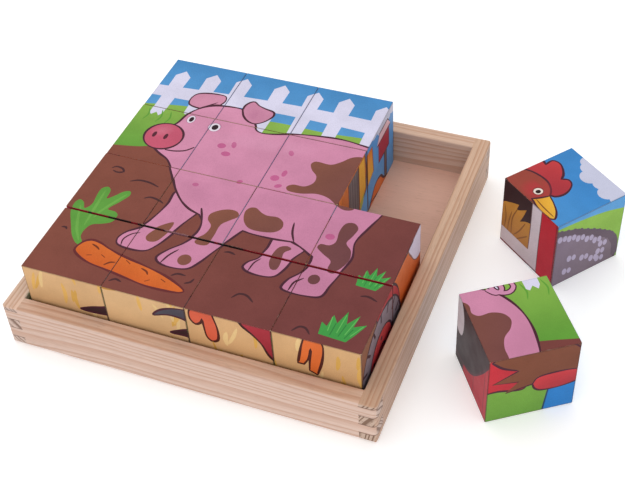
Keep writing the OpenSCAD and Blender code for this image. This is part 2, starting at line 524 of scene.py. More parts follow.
def pig_legs_behind(p, skin, patch):
    p.area(skin, "1.13,1.62 1.12,1.4 1.07,1.16 1.0,0.98 0.88,0.86 0.83,0.74 0.87,0.65 1.05,0.62 1.22,0.655 1.31,0.78 "
                 "1.38,0.95 1.44,1.15 1.54,1.4*", 0.026)
    p.area(patch, "1.12,0.86 1.17,0.8 1.26,0.82 1.31,0.92 1.34,1.04 1.33,1.14 1.25,1.09 1.16,0.98")
    p.line(0.02, "1.03,0.9 0.95,0.84 0.9,0.74 0.92,0.64")
    p.area(skin, "2.53,1.3 2.5,1.08 2.46,0.94 2.38,0.86 2.35,0.77 2.42,0.715 2.6,0.7 2.74,0.74 2.81,0.88 2.84,1.02 "
                 "2.93,1.2*", 0.026)
    p.area(patch, "2.6,0.93 2.6,1.06 2.63,1.15 2.71,1.19 2.77,1.16 2.71,1.08 2.73,0.95 2.72,0.84 2.66,0.83")
    p.line(0.02, "2.5,0.95 2.45,0.87 2.43,0.72")


def pig_picture():
    p = Picture()
    skin = fade("D58FAD", "C47E9E", (1.0, 3.2), (3.0, 0.8))
    patch = fade("834F3E", "6E4042", (2.4, 2.6), (3.6, 2.0))
    p.area(SKY, "0,2* 4,2* 4,4* 0,4*")
    p.area(fade("5F9A37", "8AB24B", (0, 2.1), (0, 3.15)),
           "0,3.02* 0.3,3.08 0.62,3.12 1.2,3.05 1.7,3.16 2.4,3.16 3.0,3.2 3.5,3.14 4,3.16* 4,1.9* 0,1.9*")
    picket_fence(p, [(0.23, 2.88, 3.79), (0.65, 3.0, 3.84), (1.06, 3.0, 3.88), (1.58, 2.9, 3.9), (2.04, 3.0, 3.89),
                     (2.46, 3.0, 3.89), (2.96, 3.0, 3.87), (3.4, 2.9, 3.88), (3.8, 2.87, 3.86)],
                 ["0,3.22* 0.6,3.24 1.6,3.33 2.4,3.33 3.1,3.3 4,3.3* 4,3.52* 3.1,3.55 2.1,3.56 1.0,3.51 0,3.43*"])
    for x in (0.12, 0.3, 0.42, 3.68, 3.92):
        p.line(0.022, f"{x},2.72 {x + 0.03},2.84 {x - 0.01},2.97", "5F9A37", 0.2)
    p.area(fade("83493A", "733B39", (0.4, 1.9), (3.4, 0.2)),
           "0,2.16* 0.3,2.22 0.5,2.28 0.8,2.22 1.3,2.12 2,2.12 3.3,2.16 3.62,2.13 4,2.06* 4,0* 0,0*")
    for mark in ("0.2,1.77 0.24,1.81 0.33,1.8 0.37,1.75 0.3,1.72 0.23,1.74", "0.52,1.62 0.62,1.67 0.76,1.67 0.9,1.63",
                 "0.82,1.4 0.88,1.44 0.98,1.43 1.07,1.39", "2.06,0.91 2.12,0.93 2.2,0.91",
                 "2.42,0.3 2.48,0.38 2.57,0.38 2.67,0.31", "1.66,0.39 1.72,0.44 1.82,0.44",
                 "1.93,0.43 1.91,0.37 1.85,0.33", "3.72,0.76 3.8,0.78 3.92,0.74", "3.2,0.07 3.26,0.15 3.33,0.15 3.4,0.08",
                 "1.04,0.1 1.1,0.15 1.18,0.13", "0.12,0.7 0.17,0.71 0.2,0.68"):
        p.line(0.03, mark, "48262A")
    pig_legs_behind(p, skin, patch)
    p.area(skin, "0.48,2.28* 0.46,2.6 0.58,2.78 0.63,2.98 0.73,3.13 0.9,3.24 1.1,3.28 1.27,3.27 1.42,3.19 1.52,3.05 1.59,2.95 "
                 "1.68,2.925 1.82,2.95 2.05,3.02 2.35,3.075 2.65,3.1 2.95,3.065 3.2,3.02 3.38,2.91 3.5,2.74 3.57,2.54 "
                 "3.59,2.3 3.55,2.02 3.47,1.75 3.4,1.48 3.45,1.24 3.41,1.02 3.36,0.8 3.32,0.62 3.15,0.575 2.95,0.575 "
                 "2.87,0.61 2.9,0.75 2.99,0.88 3.03,1.02 3.02,1.12* 2.89,1.2 2.75,1.27* 2.5,1.245 2.25,1.245 2.13,1.26* "
                 "2.05,1.08 1.96,0.88 1.88,0.68 1.79,0.545 1.6,0.505 1.44,0.53 1.38,0.6 1.45,0.74 1.58,0.9 1.65,1.07 "
                 "1.63,1.25 1.55,1.35* 1.4,1.4 1.25,1.5 1.1,1.66 0.95,1.88 0.78,2.1 0.62,2.19", 0.026)
    for spot in ("2.45,2.57 2.49,2.63 2.68,2.63 2.78,2.71 2.88,2.83 3.0,2.87 3.05,2.8 3.04,2.7 3.1,2.64 3.24,2.65 "
                 "3.36,2.6 3.41,2.5 3.36,2.38 3.26,2.28 3.21,2.14 3.2,1.98 3.1,1.94 2.98,1.99 2.85,2.07 2.7,2.09 "
                 "2.52,2.04 2.36,2.04 2.32,2.1 2.38,2.16 2.52,2.17 2.6,2.26 2.59,2.38 2.5,2.47",
                 "2.03,1.56 2.06,1.64 2.13,1.66 2.21,1.61 2.3,1.58 2.43,1.59 2.52,1.53 2.54,1.43 2.48,1.35 2.33,1.31 "
                 "2.18,1.32 2.08,1.41",
                 "1.67,1.4 1.75,1.49 1.86,1.54 1.96,1.53 2.0,1.46 1.93,1.37 1.86,1.27 1.86,1.08 1.84,0.95 1.72,0.93 "
                 "1.68,0.97 1.75,1.08 1.76,1.22 1.68,1.31",
                 "3.17,1.6 3.2,1.74 3.29,1.77 3.36,1.7 3.34,1.56 3.31,1.44 3.4,1.34 3.43,1.2 3.38,1.04 3.32,0.98 3.25,1.0 "
                 "3.24,1.12 3.12,1.2 3.02,1.28 3.04,1.34 3.14,1.35 3.19,1.42"):
        p.area(patch, spot)
    p.oval(patch, 1.7, 0.66, 0.08, 0.085)
    p.oval(patch, 3.16, 0.835, 0.068, 0.075)
    for x, y, rx, ry, turn in ((1.29, 2.55, 0.07, 0.06, 0), (1.43, 2.61, 0.04, 0.075, 20), (1.4, 2.425, 0.075, 0.055, 0),
                               (2.15, 2.68, 0.04, 0.065, 30), (2.21, 2.31, 0.04, 0.075, 0), (2.13, 2.2, 0.07, 0.065, 0),
                               (2.22, 2.08, 0.06, 0.04, 30), (1.77, 2.01, 0.045, 0.04, 0), (1.29, 1.81, 0.05, 0.04, 0),
                               (3.1, 1.48, 0.07, 0.06, 0)):
        p.oval("BE5F8C", x, y, rx * 0.8, ry * 0.8, turn)
    p.blush("BC7898", 1.35, 1.75, 0.5, 0.2, -38, 0.3)
    p.blush("DCA0BC", 1.8, 2.75, 0.7, 0.18, 5, 0.3)
    p.line(0.028, "0.48,2.27 0.62,2.19 0.78,2.1 0.95,1.88 1.1,1.66 1.3,1.46 1.53,1.345")
    p.line(0.028, "1.53,1.46 1.58,1.36 1.63,1.25", taper=0.6)
    p.line(0.028, "2.64,1.57 2.68,1.41 2.75,1.275")
    p.line(0.024, "1.57,0.79 1.5,0.67 1.46,0.53")
    p.line(0.024, "3.05,0.82 2.98,0.73 2.96,0.59")
    p.area("CE8BA6", "0.73,3.13* 0.63,3.14 0.55,3.18 0.53,3.29 0.57,3.39 0.67,3.44 0.84,3.465 0.95,3.45 0.98,3.36 0.95,3.27* "
                     "0.86,3.24", 0.022)
    p.line(0.02, "0.71,3.13 0.8,3.21 0.9,3.31")
    p.area("CC87A4", "1.25,3.27* 1.25,3.36 1.29,3.44 1.34,3.465 1.42,3.41 1.52,3.375 1.65,3.34 1.675,3.27 1.64,3.18 "
                     "1.58,3.1 1.5,3.055 1.4,3.08 1.31,3.16", 0.024)
    p.blush("B97093", 1.45, 3.22, 0.13, 0.13, 0, 0.5)
    p.oval("C4566F", 0.53, 2.5, 0.25, 0.245, 0, 0.025)
    p.blush("D27C90", 0.47, 2.6, 0.16, 0.12, 20, 0.6)
    p.oval("55202F", 0.405, 2.5, 0.026, 0.055)
    p.oval("55202F", 0.56, 2.5, 0.026, 0.055)
    p.line(0.024, "0.66,2.27 0.78,2.28 0.91,2.33 0.99,2.42", INK, 0.7)
    p.oval("E8DFEA", 1.06, 2.85, 0.078, 0.085, 0, 0.012, "B77898")
    p.oval("2E1822", 1.065, 2.85, 0.042, 0.052)
    p.oval("E8DFEA", 0.72, 2.905, 0.055, 0.078, 0, 0.01, "B77898")
    p.oval("2E1822", 0.725, 2.905, 0.03, 0.05)
    tail = "3.3,2.98 3.38,2.9 3.46,2.93 3.46,3.01 3.4,3.04 3.36,2.98 3.42,2.9 3.53,2.88 3.6,2.95 3.57,3.05"
    p.line(0.085, tail, INK, 0.7)
    p.line(0.05, tail, "D08DAE", 0.7)
    for x, y, size in ((3.76, 0.95, 0.74), (3.67, 0.19, 1.0)):
        grass_tuft(p, x, y, size)
    p.area("5C9A3C", "0.46,0.5 0.4,0.52 0.3,0.62 0.2,0.78 0.1,0.95 0.07,1.07 0.1,1.15 0.17,1.12 0.23,1.03 0.28,1.12 0.26,1.28 "
                     "0.26,1.4 0.32,1.45 0.38,1.4 0.4,1.26 0.46,1.32 0.54,1.43 0.61,1.46 0.64,1.4 0.58,1.26 0.5,1.1 "
                     "0.6,1.09 0.66,1.04 0.64,0.95 0.55,0.89 0.44,0.84 0.4,0.74 0.41,0.63 0.47,0.55")
    for vein in ("0.42,0.56 0.3,0.74 0.16,1.06", "0.36,0.8 0.34,1.1 0.32,1.38", "0.4,0.95 0.48,1.15 0.6,1.4"):
        p.line(0.035, vein, "6AA646", 0.2)
    carrot = fade("DC7430", "C9591F", (0.9, 0.7), (0.8, 0.2))
    p.area(carrot, "0.45,0.48 0.5,0.58 0.58,0.62 0.7,0.6 0.8,0.56 1.0,0.5 1.3,0.44 1.6,0.37 1.82,0.28 1.9,0.22 1.84,0.18 "
                   "1.5,0.16 1.2,0.2 0.9,0.25 0.7,0.28 0.54,0.34 0.45,0.41", 0.028, "66282A")
    for nick in ("0.6,0.56 0.68,0.53 0.72,0.5", "0.78,0.44 0.84,0.41", "0.88,0.3 0.93,0.36 0.99,0.38", "1.08,0.45 1.15,0.41",
                 "1.3,0.39 1.38,0.36 1.41,0.32", "1.42,0.22 1.47,0.26", "1.58,0.31 1.65,0.28", "0.62,0.38 0.68,0.4"):
        p.line(0.025, nick, "743218", 0.4)
    return p


def hen_head(p, x, y, flip, eye_x, eye_y):
    """Comb, beak, wattle and eye of a hen whose head is about x, y; flip is -1 when it looks left."""
    def at(text):
        pairs = [w.rstrip("*").split(",") + ["*" if w.endswith("*") else ""] for w in text.split()]
        return " ".join(f"{x + flip * float(a):.3f},{y + float(b):.3f}{c}" for a, b, c in pairs)
    p.area(RED, at("-0.14,0.1* -0.17,0.24 -0.09,0.21 -0.04,0.33 0.03,0.23 0.11,0.29 0.13,0.1*"), 0.024)
    p.area(BEAK, at("0.13,0.07* 0.29,-0.02* 0.14,-0.08*"), 0.02)
    p.area(RED, at("0.12,-0.08* 0.19,-0.18 0.12,-0.28 0.06,-0.17"), 0.022)
    p.oval("EDE6DA", eye_x, eye_y, 0.045, 0.048, 0, 0.012)
    p.oval("241418", eye_x + flip * 0.008, eye_y, 0.022)


def hens_picture():
    p = Picture()
    p.area(fade("CDA070", "D4AC7E", (0, 0), (0, 3)), "0,0* 4,0* 4,3.3* 0,3.3*")
    p.area("8A5B3C", "0,3.12* 4,3.2* 4,4* 0,4*")
    for x in (0.4, 0.84, 1.28, 2.3, 2.74, 3.18, 3.62):
        p.line(0.02, f"{x},3.16 {x + 0.01},3.6 {x},4", "5E3A28", 0.8)
    p.area("4F8CC8", "0.9,3.42* 1.6,3.42* 1.6,4* 0.9,4*", 0.05, "C9A77C")
    scatter(p, 3, 90, (0, 0, 4, 3.1), ("D9A95C", "D0A050", "DDBB84"), 0.3, 0.045, (0.05, 0.2))
    p.area(fade("D8A85E", "B77F35", (0, 3.4), (0, 2.9)), "0,2.98 0.5,3.08 1.1,3.0 1.8,3.1 2.6,3.0 3.3,3.12 4,3.02* "
                                                         "4,3.3* 3.4,3.36 2.6,3.28 1.9,3.38 1.1,3.26 0.4,3.34 0,3.28*")
    slate = fade("4E4C58", "3A2E36", (0.6, 2.9), (1.4, 2.7))
    p.area(slate, "1.5,2.36 1.3,2.6 1.0,2.8 0.8,2.82 0.6,2.755 0.7,2.87 0.9,2.955 1.1,2.965 1.34,2.86 1.6,2.6", 0.024)
    p.area("3A2226", "1.4,2.2 1.2,2.42 1.0,2.53 0.78,2.53 0.9,2.61 1.05,2.66 1.27,2.62 1.5,2.45", 0.024)
    p.area("3A2226", "1.5,1.8 1.2,1.57 1.0,1.53 0.66,1.52 0.8,1.6 1.0,1.665 1.2,1.78 1.4,2.0", 0.024)
    for skin, leg in (("CF5B40", "1.19,1.8* 1.18,1.2 1.16,1.06 1.06,1.0 1.05,0.86 1.11,0.79 1.18,0.84 1.2,0.9* 1.21,0.75 1.23,0.62 1.29,0.57 "
                "1.36,0.62 1.37,0.8 1.33,1.0 1.3,1.2 1.31,1.8*"),
                (ORANGE, "1.92,1.8* 1.92,1.36 1.82,1.24 1.88,1.17 1.97,1.24 2.02,1.12 2.09,1.16 2.06,1.3 2.03,1.4 2.04,1.8*"),
                (ORANGE, "3.4,1.4* 3.37,1.06 3.33,0.88 3.28,0.6* 3.35,0.6* 3.4,0.7 3.44,0.88* 3.42,0.7 3.41,0.52* 3.5,0.48* "
                "3.56,0.72 3.58,0.95 3.54,1.1 3.53,1.4*")):
        p.area(skin, leg, 0.028, "4A1E18")
    p.area(fade("57474E", "3A2A30", (1.7, 2.7), (1.7, 1.7)), "1.2,2.24 1.22,1.95 1.38,1.72 1.7,1.6 2.05,1.64 2.3,1.82 2.4,2.1 "
                                                             "2.36,2.4 2.38,2.62 2.36,2.82 2.24,2.93 2.09,2.88 2.02,2.68 "
                                                             "1.94,2.47 1.75,2.38 1.45,2.42", 0.028)
    p.area("6A5A62", "1.36,2.14 1.6,2.22 1.9,2.16 2.06,2.02 1.96,1.86 1.84,1.92* 1.74,1.78 1.62,1.88* 1.5,1.78 1.42,1.9", 0.024)
    hen_head(p, 2.22, 2.8, 1, 2.25, 2.8)
    red = fade("B83240", "8C2630", (2.2, 1.6), (2.4, 0.5))
    p.area("7E2A2C", "2.9,1.2 3.1,1.55 3.2,1.9 3.3,1.92 3.34,1.7 3.24,1.35 3.05,1.05", 0.026)
    p.area(red, "1.62,1.06 1.67,0.96 1.78,0.86 1.88,0.74 1.97,0.56 2.15,0.44 2.45,0.38 2.75,0.42 2.88,0.56 2.94,0.8 2.97,1.0 3.1,1.22 "
                "3.16,1.45 3.1,1.72 3.0,1.68 2.85,1.42 2.6,1.32 2.3,1.4 2.12,1.6 2.06,1.82 1.96,1.98 1.8,2.0 1.68,1.9 "
                "1.64,1.7 1.66,1.5 1.6,1.26", 0.03, "3E1A1C")
    p.area("C9573A", "2.16,1.12 2.4,1.22 2.7,1.14 2.84,0.98 2.76,0.8 2.64,0.88* 2.52,0.72 2.42,0.84* 2.28,0.72 2.2,0.88", 0.024)
    hen_head(p, 1.83, 1.86, -1, 1.8, 1.86)
    p.area(fade("E6DAC4", "D2C2A4", (3.4, 2.2), (3.4, 1.2)), "2.98,1.75 3.0,1.48 3.2,1.25 3.5,1.18 3.75,1.32 3.86,1.6 3.84,1.95 "
                                                             "3.86,2.25 3.9,2.48 3.82,2.62 3.7,2.64 3.6,2.52 3.58,2.3 3.48,2.1 "
                                                             "3.25,2.0 3.08,2.1 2.9,2.32 2.82,2.22 2.88,1.98", 0.028)
    p.area("CDB892", "3.12,1.8 3.35,1.86 3.58,1.76 3.64,1.62 3.54,1.48 3.45,1.56* 3.36,1.44 3.25,1.54* 3.14,1.52", 0.024)
    hen_head(p, 3.73, 2.52, 1, 3.76, 2.52)
    for x, y in ((0.35, 0.4), (0.62, 0.28), (2.9, 0.24)):
        p.oval("EAD7B0", x, y, 0.13, 0.1, 15, 0.018, "8A6238")
    for x, y, flip in ((0.45, 1.15, 1), (3.14, 0.18, -1)):
        p.oval("E8B93E", x, y, 0.16, 0.13, 0, 0.02)
        p.oval("E8B93E", x + flip * 0.12, y + 0.14, 0.1, 0.09, 0, 0.02)
        p.area(ORANGE, f"{x + flip * 0.21},{y + 0.16}* {x + flip * 0.28},{y + 0.13}* {x + flip * 0.21},{y + 0.1}*", 0.01)
        p.oval("241418", x + flip * 0.14, y + 0.16, 0.015)
    scatter(p, 8, 24, (0, 0, 4, 0.36), ("DDAE58", "C28F42"), 0.2, 0.03, (0.6, 0.5))
    return p


def wheel(p, x, y, r, hub):
    p.oval(fade("887A84", "5A4E58", (x, y + r), (x, y - r)), x, y, r, r, 0, 0.03, DARK)
    for k in range(16):
        a = k * math.pi / 8
        c, s = math.cos(a), math.sin(a)
        p.line(0.04, f"{x + 0.78 * r * c:.3f},{y + 0.78 * r * s:.3f} {x + 0.98 * r * c:.3f},{y + 0.98 * r * s:.3f}", DARK, 0.9)
    p.oval(hub, x, y, 0.58 * r, 0.58 * r, 0, 0.03, DARK)
    p.oval("8E2A30", x, y, 0.22 * r, 0.22 * r, 0, 0.024, DARK)
    for k in range(5):
        a = k * 1.2566 + 0.3
        p.oval(DARK, x + 0.4 * r * math.cos(a), y + 0.4 * r * math.sin(a), 0.045 * r)


def tractor_picture():
    p = Picture()
    p.area(fade("62A0DA", "3F84CA", (0, 1.8), (0, 4)), "0,0* 4,0* 4,4* 0,4*")
    cloud(p, 0.8, 3.6)
    cloud(p, 2.75, 3.08, 0.9)
    p.area("8A5A44", "0,2.05* 0.5,2.12 0.96,2.0 1.6,1.9 2.6,1.9 3.4,1.96 4,2.02* 4,0.8* 0,0.8*")
    p.area(fade("5F9636", "7FAB45", (0, 0), (0, 1.2)), "0,0.95* 1.2,0.88 2.4,0.94 4,0.9* 4,0* 0,0*")
    p.area("A83246", "2.42,2.46* 2.82,2.46* 2.82,2.78* 2.42,2.78*", 0.02)
    p.area("E3B9C4", "2.36,2.76* 2.88,2.76* 2.78,2.9* 2.46,2.9*", 0.02)
    p.area("6D5C55", "2.64,1.9* 2.72,1.9* 2.72,2.46* 2.64,2.46*", 0.022)
    orange = fade("DC7634", "CB5526", (0, 2.6), (0, 1.2))
    p.area(orange, "1.0,1.3* 1.0,2.02* 1.7,1.98* 1.98,1.98 2.1,2.08 2.28,2.22 2.48,2.2 2.62,2.06 2.85,1.97 3.1,1.88 "
                   "3.25,1.7 3.26,1.3*", 0.03, DARK)
    p.area("D6CADC", "1.56,1.99 1.66,1.8 1.78,1.64 1.92,1.56 2.06,1.6 2.06,1.98", 0.02, "8A5A50")
    p.line(0.024, "2.1,2.06 2.4,2.0 2.75,1.98", DARK, 0.6)
    p.area(orange, "0.95,2.0* 1.02,3.1* 1.94,3.1* 1.98,2.72* 1.96,2.42* 1.74,2.3* 1.72,2.0*", 0.028, DARK)
    p.area("C96A30", "1.1,2.05* 1.12,2.98* 1.36,2.98* 1.36,2.05*")
    p.area("6E6468", "1.36,2.02* 1.36,2.98* 1.7,2.98* 1.7,2.02*", 0.018, DARK)
    for x in (1.41, 1.49, 1.57, 1.65):
        p.line(0.018, f"{x},2.04 {x},2.5 {x},2.96", "463A42", 0.9)
    p.area(BEAK, "1.72,2.36* 1.72,2.98* 1.93,2.98* 1.95,2.46*", 0.018, "8A4A20")
    p.area("A9A94E", "1.73,2.22* 1.73,2.36* 1.9,2.44* 1.84,2.3*")
    p.area("B0323C", "0.86,3.08* 0.9,3.22* 2.06,3.22* 2.1,3.08*", 0.026, DARK)
    p.area("DCD4E2", "0.9,3.12* 0.9,3.16* 2.06,3.16* 2.06,3.12*")
    p.area(fade("E3A63A", "D8752C", (2.1, 2.6), (2.1, 2.9)), "2.0,2.42* 2.0,2.92* 2.18,2.92* 2.22,2.5*", 0.02, "8A4A20")
    p.area("B02C36", "0.5,2.1 0.9,2.06 1.12,1.88 1.22,1.6 1.14,1.3 0.9,1.3 0.6,1.6", 0.026, DARK)
    red = fade("B83A3E", "8E2A30", (0, 1.7), (0, 1.0))
    wheel(p, 0.62, 1.32, 0.64, red)
    wheel(p, 2.85, 1.0, 0.42, red)
    p.area("C9B04A", "3.05,1.6* 3.05,1.82* 3.2,1.76 3.24,1.66*", 0.02, DARK)
    p.area("74443A", "0,0.66* 0.9,0.6 2.2,0.68 3.2,0.6 4,0.68* 4,0.42* 2.8,0.4 1.4,0.46 0,0.4*")
    for x in (0.3, 1.3, 1.9, 3.5):
        grass_tuft(p, x, 0.3, 0.8)
    return p


def rooster_picture():
    p = Picture()
    p.area(fade("5FA4DC", "3E88CA", (0, 1.8), (0, 3.6)), "0,1* 4,1* 4,4* 0,4*")
    p.area("C6C8DE", "2.3,4.0* 3.5,4.0* 3.4,3.9 3.1,3.84 2.7,3.88 2.5,3.9")
    for x, y, r in ((2.31, 3.99, 0.09), (2.4, 3.93, 0.1), (2.53, 3.84, 0.12), (2.7, 3.87, 0.1), (2.86, 3.82, 0.11),
                    (3.02, 3.88, 0.12), (3.2, 3.93, 0.11), (3.38, 3.98, 0.1)):
        p.oval("C6C8DE", x, y, r)
    cloud(p, 0.55, 3.6, 0.6)
    p.area(fade("7AA642", "588E34", (0, 1.9), (0, 0.4)), "0,1.72* 0.8,1.86 1.6,1.78 2.6,1.9 3.3,1.8 4,1.9* 4,0* 0,0*")
    picket_fence(p, [(x, 1.7, 2.55) for x in (3.1, 3.45, 3.8)], ["2.9,2.2* 4,2.22* 4,2.38* 2.9,2.36*"])
    for i, feather in enumerate(("1.3,2.0 0.9,2.5 0.62,2.95 0.3,3.16 0.12,3.02 0.28,2.7 0.7,2.2 1.15,1.7",
                                 "1.25,1.9 0.75,2.2 0.35,2.5 0.08,2.4 0.14,2.1 0.6,1.8 1.1,1.6",
                                 "1.3,2.1 1.08,2.6 0.98,3.05 0.76,3.4 0.58,3.3 0.68,2.9 0.95,2.4")):
        p.area(("2F5A48", "A5313A", "C85A2C")[i], feather, 0.024)
    p.area(fade("CE2E3A", "B02A36", (0.7, 1.9), (1.3, 1.5)), "0.5,1.7 0.75,1.98 1.08,2.06 1.42,1.98 1.42,1.46 1.1,1.49 0.72,1.48", 0.026)
    p.area("2879C0", "1.7,1.46* 1.62,0.72* 2.36,0.72* 2.42,1.46*", 0.026, "243A5A")
    for x in (2.06, 2.26):
        p.area(BEAK, f"{x - 0.03},1.5* {x - 0.03},1.32* {x + 0.04},1.32* {x + 0.04},1.5*", 0.016)
    brown = fade("804A34", "72402E", (1.4, 2.6), (2.2, 1.4))
    p.area(brown, "1.03,1.98* 1.15,1.86 1.33,1.765* 1.05,1.62* 1.34,1.58* 1.2,1.43* 1.5,1.49* 1.8,1.4 2.2,1.42 2.56,1.62 "
                  "2.72,1.95 2.72,2.3 2.6,2.6 2.52,2.84 2.56,3.04 2.5,3.26 2.36,3.34 2.1,3.34 1.93,3.2 1.9,2.92 1.84,2.62 "
                  "1.64,2.36 1.3,2.2", 0.026)
    p.area("B5633A", "1.94,3.0* 1.84,2.6 1.7,2.36* 1.88,2.4* 1.9,2.22* 2.08,2.34* 2.18,2.12* 2.3,2.3* 2.46,2.1* 2.5,2.34* "
                     "2.66,2.28* 2.58,2.62 2.5,2.84 2.5,3.0*", 0.02)
    p.area("6B3A2C", "1.5,2.2 1.75,2.34 2.15,2.26 2.36,2.0 2.3,1.86 2.2,1.94* 2.12,1.8 2.04,1.9* 1.9,2.02 1.76,2.04* "
                     "1.6,2.06", 0.022)
    p.area(fade("C63A40", "A8303A", (1.7, 1.6), (1.8, 1.35)), "1.5,1.49* 1.53,1.41 1.6,1.36 1.8,1.35 1.96,1.38 2.1,1.44 2.12,1.54 "
                                                              "1.95,1.6 1.7,1.61 1.55,1.58", 0.022)
    comb = fade("C83E42", "A8323C", (2.1, 3.7), (2.4, 3.3))
    p.area(comb, "2.0,3.3* 1.96,3.45 2.0,3.56 2.07,3.55* 2.06,3.66 2.14,3.7 2.24,3.67 2.34,3.6 2.38,3.54* 2.44,3.6 2.52,3.58 "
                 "2.59,3.48 2.61,3.38 2.58,3.28 2.5,3.24*", 0.026)
    p.area("9A4438", "1.96,3.28* 2.1,3.36 2.3,3.38 2.46,3.32 2.56,3.22 2.52,3.06 2.44,2.98 2.2,2.96 2.0,3.02*")
    p.line(0.026, "1.94,3.2 2.02,3.3 2.16,3.36 2.32,3.375 2.46,3.32 2.56,3.22", INK, 0.7)
    p.blush("B5303A", 2.36, 3.18, 0.2, 0.2, 0, 0.9)
    p.area(comb, "2.4,3.0* 2.46,2.86 2.42,2.68 2.32,2.62 2.26,2.74 2.28,2.92*", 0.022)
    p.area(fade("E8B23C", "D99A32", (2.7, 3.2), (2.6, 3.0)), "2.54,3.24* 2.66,3.2 2.8,3.13 2.88,3.04 2.84,3.0* 2.64,3.0 "
                                                             "2.46,3.04* 2.5,3.12", 0.022)
    p.line(0.016, "2.5,3.075 2.64,3.06 2.84,3.055", "7A4A20", 0.5)
    p.oval("E9DCD2", 2.4, 3.18, 0.062, 0.066, 0, 0.014, "8A3A34")
    p.oval("2A1614", 2.405, 3.175, 0.03, 0.034)
    for x, y, size in ((0.35, 0.5, 1.0), (1.2, 0.3, 0.9), (2.9, 0.5, 1.1), (3.6, 0.9, 0.9)):
        grass_tuft(p, x, y, size, ("4F8A35", "86B652", "3F7030"))
    for x, y in ((0.7, 0.95), (3.2, 1.2), (1.35, 0.85)):
        for k in range(5):
            p.oval("E3DCE6", x + 0.05 * math.cos(1.257 * k), y + 0.05 * math.sin(1.257 * k), 0.035)
        p.oval(BEAK, x, y, 0.025)
    return p


def barn_window(p):
    p.area("3A2226", "-0.4,3.2* 0.6,3.2* 0.6,4.2* -0.4,4.2*")
    hay = fade("C98A38", "A86A2A", (0, 3.7), (0, 3.2))
    p.area(hay, "-0.2,3.1* 0.0,3.62 0.14,3.72 0.3,3.8* 0.27,3.7 0.44,3.82* 0.4,3.7 0.34,3.56* 0.45,3.64 0.55,3.68* 0.55,3.1*")
    for stalk in ("0.06,3.24 0.08,3.45 0.04,3.62", "0.2,3.22 0.2,3.5 0.28,3.72", "0.24,3.26 0.34,3.4 0.44,3.6",
                  "0.3,3.24 0.42,3.36 0.5,3.44", "0.13,3.24 0.14,3.4 0.18,3.6"):
        p.line(0.02, stalk, "8A5422", 0.4)
    frame = fade("DECED4", "C6B4B8", (0.6, 4), (0.3, 3))
    p.area(frame, "0.53,3.0* 0.53,4* 0.7,4* 0.71,3.0*")
    p.area(frame, "0,3.03* 0,3.25* 0.56,3.25* 0.7,3.03*")
    p.line(0.014, "0.53,3.26 0.535,3.6 0.53,4", "6A4A4E", 0.8)
    p.line(0.014, "0.71,3.04 0.705,3.5 0.71,4", "7A3A40", 0.8)
    p.line(0.018, "0,3.02 0.4,3.02 0.72,3.02", "5A3036", 0.8)


def barn_picture():
    p = Picture()
    p.area(fade("C61C2E", "A01C32", (0, 4), (0, 1)), "0,0* 4,0* 4,4* 0,4*")
    for x in (0.98, 1.3, 1.62, 1.94, 2.26, 2.58, 2.9, 3.22, 3.54, 3.86):
        p.line(0.014, f"{x},0.7 {x + 0.01},2.2 {x},4", "7A1F2C", 0.9)
    barn_window(p)
    p.area(fade("6BA03C", "4F8434", (0, 1.3), (0, 0)), "0,0.95* 1.2,0.98 2.6,0.93 4,0.96* 4,0* 0,0*")
    hide = fade("40282F", "2F1B22", (2, 3.3), (2.4, 2.0))
    for x, colour in ((0.7, hide), (1.08, "3C2C32"), (1.75, "3C2C32"), (2.1, hide)):
        p.area(colour, f"{x - 0.14},2.3* {x - 0.11},1.4 {x - 0.13},0.72* {x + 0.11},0.72* {x + 0.11},1.4 {x + 0.16},2.3*", 0.028)
        p.area("2E2024", f"{x - 0.14},0.72* {x - 0.16},0.58* {x + 0.14},0.58* {x + 0.12},0.72*", 0.016)
    p.area("C48490", "1.24,2.1 1.3,1.93 1.42,1.88 1.56,1.94 1.6,2.1", 0.024)
    p.area(hide, "0.46,2.6 0.5,2.25 0.75,2.08 1.2,2.04 1.7,2.02 2.0,2.09 2.3,2.15 2.5,2.25 2.66,2.4 2.8,2.6 2.9,2.75 "
                 "3.0,2.9 3.14,3.02* 3.34,3.06 3.6,3.14 3.84,3.24 3.92,3.42 3.84,3.6 3.6,3.76 3.36,3.82 3.1,3.7 2.8,3.5 "
                 "2.5,3.3 2.1,3.08 1.6,2.97 1.0,2.95 0.6,2.9", 0.03)
    p.area("CFC6CE", "0.95,2.93 1.3,2.94 1.56,2.8 1.5,2.5 1.24,2.36 0.98,2.45 0.86,2.7")
    p.area("CFC6CE", "2.0,3.02 2.12,3.0 2.2,2.86 2.21,2.66 2.16,2.5 2.06,2.47 1.92,2.6 1.9,2.86")
    p.area("CFC6CE", "3.5,3.78 3.56,3.52 3.72,3.3 3.84,3.26 3.9,3.42 3.82,3.6 3.64,3.74")
    p.area("D89AA6", "3.6,3.14 3.7,3.04 3.88,3.1 3.98,3.24 3.96,3.36 3.84,3.38 3.7,3.28", 0.024)
    p.oval("5A2A34", 3.86, 3.22, 0.025, 0.018)
    p.oval("E2DAE2", 3.5, 3.52, 0.05, 0.055, 0, 0.014)
    p.oval("221416", 3.51, 3.515, 0.025, 0.03)
    p.area(hide, "3.2,3.72 3.02,3.8 2.9,3.74 2.98,3.6 3.14,3.58", 0.024)
    p.line(0.05, "0.5,2.85 0.34,2.6 0.36,2.2 0.28,1.85", "3C3034", 0.6)
    p.area("3C3034", "0.28,1.9 0.2,1.64 0.32,1.54 0.38,1.74 0.34,1.9", 0.016)
    for x, y, size in ((0.4, 0.3, 1.0), (1.6, 0.25, 0.9), (3.0, 0.4, 1.1), (3.7, 0.6, 0.8)):
        grass_tuft(p, x, y, size)
    return p


